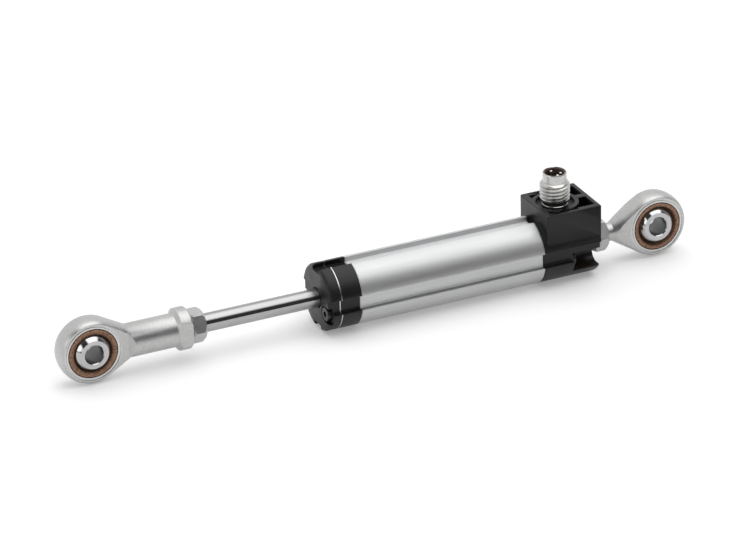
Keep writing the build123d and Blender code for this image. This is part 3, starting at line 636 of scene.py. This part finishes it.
outline = [
    (bore, stem_foot), (stem, stem_foot), (stem, 11.8),
    (root, 11.8), (rim, 11.85), (rim, 12.05), (neck, 12.15), (neck, 13.0),
    (root, 13.2), (crest_edge, 13.5), (crest, 13.55), (crest, 17.75), (crest_edge, 17.8),
    (root, 18.35), (stem, 18.4), (stem, nose_top - 0.25), (3.17, nose_top - 0.1),
    (3.08, nose_top), (2.95, nose_top), (bore, nose_top - 0.08), (bore, stem_foot),
]
plug = draw_outline("plug_shell", [mm(plug_x + r, 0, z) for r, z in outline])
spin_outline(mm(plug_x, 0, 0), (0, 0, 1), 128)
print("plug bar", len(plug.data.vertices), "vertices")

# %% [markdown]
# Rings of the right pitch would pass for a thread from afar, but a real one climbs. It is
# cut as on the machine, by a pointed tool that runs along a helix. A small section with a
# Screw modifier makes the room that the tool sweeps.

# %% Sweep the thread tool
pitch, turns, steps_per_turn = 1.0, 6, 96
thread_foot = 12.9
clear, tip, mouth = 4.2, 0.06, 0.49

section = ((root, -tip), (clear, -mouth), (clear, mouth), (root, tip))
tool = draw_outline("thread_tool", [mm(r, 0, z) for r, z in section])
bpy.ops.mesh.select_all(action="SELECT")
bpy.ops.mesh.edge_face_add()
bpy.ops.mesh.delete(type="ONLY_FACE")
bpy.ops.object.mode_set(mode="OBJECT")
screw = tool.modifiers.new("thread", "SCREW")
screw.axis = "Z"
screw.angle = 2 * math.pi
screw.screw_offset = pitch / 1000
screw.iterations = turns
screw.steps = steps_per_turn
screw.render_steps = steps_per_turn
screw.use_merge_vertices = False
apply_modifiers(tool)
print("swept room", len(tool.data.polygons), "faces in", turns, "turns")

# %% [markdown]
# The sweep is open at its two ends, and a Boolean can't tell inside from out on an open
# shape. In edge mode the open edges can be found by what they lack, a second face, and
# each end is filled. Then the tool moves to the plug.

# %% Close the tool's ends
bpy.ops.object.mode_set(mode="EDIT")
bpy.ops.mesh.select_mode(type="EDGE")
bpy.ops.mesh.select_all(action="DESELECT")
bpy.ops.mesh.select_non_manifold(extend=False, use_boundary=True, use_wire=False,
                                 use_multi_face=False, use_non_contiguous=False,
                                 use_verts=False)
bpy.ops.mesh.fill_holes(sides=4)
bpy.ops.mesh.select_all(action="SELECT")
bpy.ops.mesh.normals_make_consistent(inside=False)
bpy.ops.transform.translate(value=mm(plug_x, 0, thread_foot))
bpy.ops.object.mode_set(mode="OBJECT")
print("thread tool", len(tool.data.polygons), "faces")

# %% [markdown]
# The Boolean takes the swept room from the bar. The exact solver is slower than the fast
# one, but it keeps the mesh closed where many thin faces cross. The tool is then deleted,
# and the plug gets its coat, its body and its slot, and stands in for the CAD shell.

# %% Cut the thread
cut = plug.modifiers.new("thread", "BOOLEAN")
cut.operation = "DIFFERENCE"
cut.solver = "EXACT"
cut.object = tool
apply_modifiers(plug)
bpy.data.objects.remove(tool)
smooth(plug, 35)
plug.data.materials.clear()
plug.data.materials.append(nickel)
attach(plug, "housing")
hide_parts("connector_shell")
print(plug.name, len(plug.data.polygons), "faces")

# %% [markdown]
# The photograph was lit by one wide soft lamp overhead and a window at the left, with a
# pale wall behind and a dark room behind the camera. The rod and the balls mirror them,
# and show how high and how far round each light reaches. Lamps of a fixed size and place
# would light each part of a long sensor a little differently. The world carries the
# lights by direction only, so it is the same at both ends and from every view.

# %% Start the world
world = bpy.data.worlds.new("studio")
bpy.context.scene.world = world
world.use_nodes = True
tree = world.node_tree
sky = tree.nodes["Background"]


def world_node(kind, **settings):
    node = tree.nodes.new(kind)
    for key, value in settings.items():
        setattr(node, key, value)
    return node


view = world_node("ShaderNodeTexCoord")
print(world.name, "has", len(tree.nodes), "nodes")

# %% [markdown]
# The dot product of two directions is 1 where they agree and falls off evenly all round,
# so a smooth ramp over it is a round soft spot, or half the sky behind a soft edge.

# %% Lights by direction
def towards(direction):
    node = world_node("ShaderNodeVectorMath", operation="DOT_PRODUCT")
    node.inputs[1].default_value = Vector(direction).normalized()
    tree.links.new(view.outputs["Generated"], node.inputs[0])
    return node.outputs["Value"]


def glow(direction, start, end, low=0.0, high=1.0):
    node = world_node("ShaderNodeMapRange", interpolation_type="SMOOTHSTEP")
    node.inputs["From Min"].default_value = start
    node.inputs["From Max"].default_value = end
    node.inputs["To Min"].default_value = low
    node.inputs["To Max"].default_value = high
    tree.links.new(towards(direction), node.inputs["Value"])
    return node.outputs["Result"]


def combine(operation, first, second):
    node = world_node("ShaderNodeMath", operation=operation)
    tree.links.new(first, node.inputs[0])
    tree.links.new(second, node.inputs[1])
    return node.outputs["Value"]


print("helpers for a light: towards, glow, combine")

# %% [markdown]
# Each light is a soft spot round one direction. The lamp is cut by two planes as well,
# because the balls show that it ends sharply at its left and right. Where neither lamp
# nor window shines, the wall fades from pale at the back to the dark room in front.

# %% Light the studio
room, back_wall, lamp_strength = 0.063, 0.97, 2.2

lamp = glow((0.17, -0.10, 0.98), 0.70, 0.93)
lamp_left = glow((0.951, 0.0, 0.309), -0.06, 0.08)
lamp_right = glow((-0.766, 0.0, 0.643), -0.12, 0.04)
window = glow((-0.92, -0.19, 0.36), 0.93, 0.985)
wall = glow((0.0, 1.0, 0.0), -0.25, 0.45, room, back_wall)
lights = combine("MULTIPLY", combine("MULTIPLY", lamp, lamp_left), lamp_right)
lights = combine("MAXIMUM", lights, window)
blend = world_node("ShaderNodeMix", data_type="FLOAT")
tree.links.new(lights, blend.inputs["Factor"])
tree.links.new(wall, blend.inputs["A"])
blend.inputs["B"].default_value = lamp_strength
tree.links.new(blend.outputs["Result"], sky.inputs["Strength"])
sky.inputs["Color"].default_value = (1, 1, 1, 1)
print("world nodes", len(tree.nodes))

# %% [markdown]
# The floor is a pale table that keeps the soft shadow of the sensor. Brighter lamps would
# make it white, but would wash out the metal too. So a small even share of white, for the
# eye and for mirrors alike, lifts the floor alone to the white background.

# %% Floor
floor_size, floor_gap = 60, 0.0001
floor_grey, white_share = 0.8, 0.26

deselect()
bpy.ops.mesh.primitive_plane_add(size=floor_size, location=(0, 0, cad_box[0][2] - floor_gap))
floor = bpy.context.active_object
floor.name = "floor"
bpy.ops.object.transform_apply(location=True, rotation=True, scale=True)

pale = new_finish("pale_floor", (floor_grey, floor_grey, floor_grey), 0.0, 1.0)
shader_of(pale).inputs["Specular IOR Level"].default_value = 0.0
rays = add(pale, "ShaderNodeLightPath")
seen = rays.outputs["Is Camera Ray"]
for ray in ("Is Glossy Ray", "Is Transmission Ray"):
    either = add(pale, "ShaderNodeMath", operation="ADD", use_clamp=True)
    join(pale, seen, either.inputs[0])
    join(pale, rays.outputs[ray], either.inputs[1])
    seen = either.outputs[0]
lift = add(pale, "ShaderNodeMath", operation="MULTIPLY")
lift.inputs[1].default_value = white_share
join(pale, seen, lift.inputs[0])
shader_of(pale).inputs["Emission Color"].default_value = (1, 1, 1, 1)
join(pale, lift.outputs[0], shader_of(pale).inputs["Emission Strength"])
floor.data.materials.append(pale)
print("floor at", round(cad_box[0][2] - floor_gap, 5))

# %% [markdown]
# The camera stands where the photograph was taken: left of the sensor and above it, with
# a long lens. Its three axes were fitted to the edges of the body and of the two eyes.
# They are written out as they are, because angles set by eye wouldn't lay every edge of
# the render on the photograph's.

# %% Camera
right = Vector((0.90716, -0.41997, -0.02600))
up = Vector((0.20415, 0.38525, 0.89995))
back = Vector((-0.36794, -0.82171, 0.43522))
stand_point = (-0.524667, -0.987070, 0.525264)

camera_data = bpy.data.cameras.new("camera")
camera = bpy.data.objects.new("camera", camera_data)
bpy.context.scene.collection.objects.link(camera)
turn = Matrix((right, up, back)).transposed().to_4x4()
camera.matrix_world = Matrix.Translation(stand_point) @ turn
camera_data.sensor_fit = "HORIZONTAL"
camera_data.sensor_width = 36.0
camera_data.lens = 225.93
camera_data.clip_end = 100.0
bpy.context.scene.camera = camera
bpy.context.scene.view_settings.view_transform = "Standard"
print("camera", round(Vector(stand_point).length, 3), "m from the rear ball")
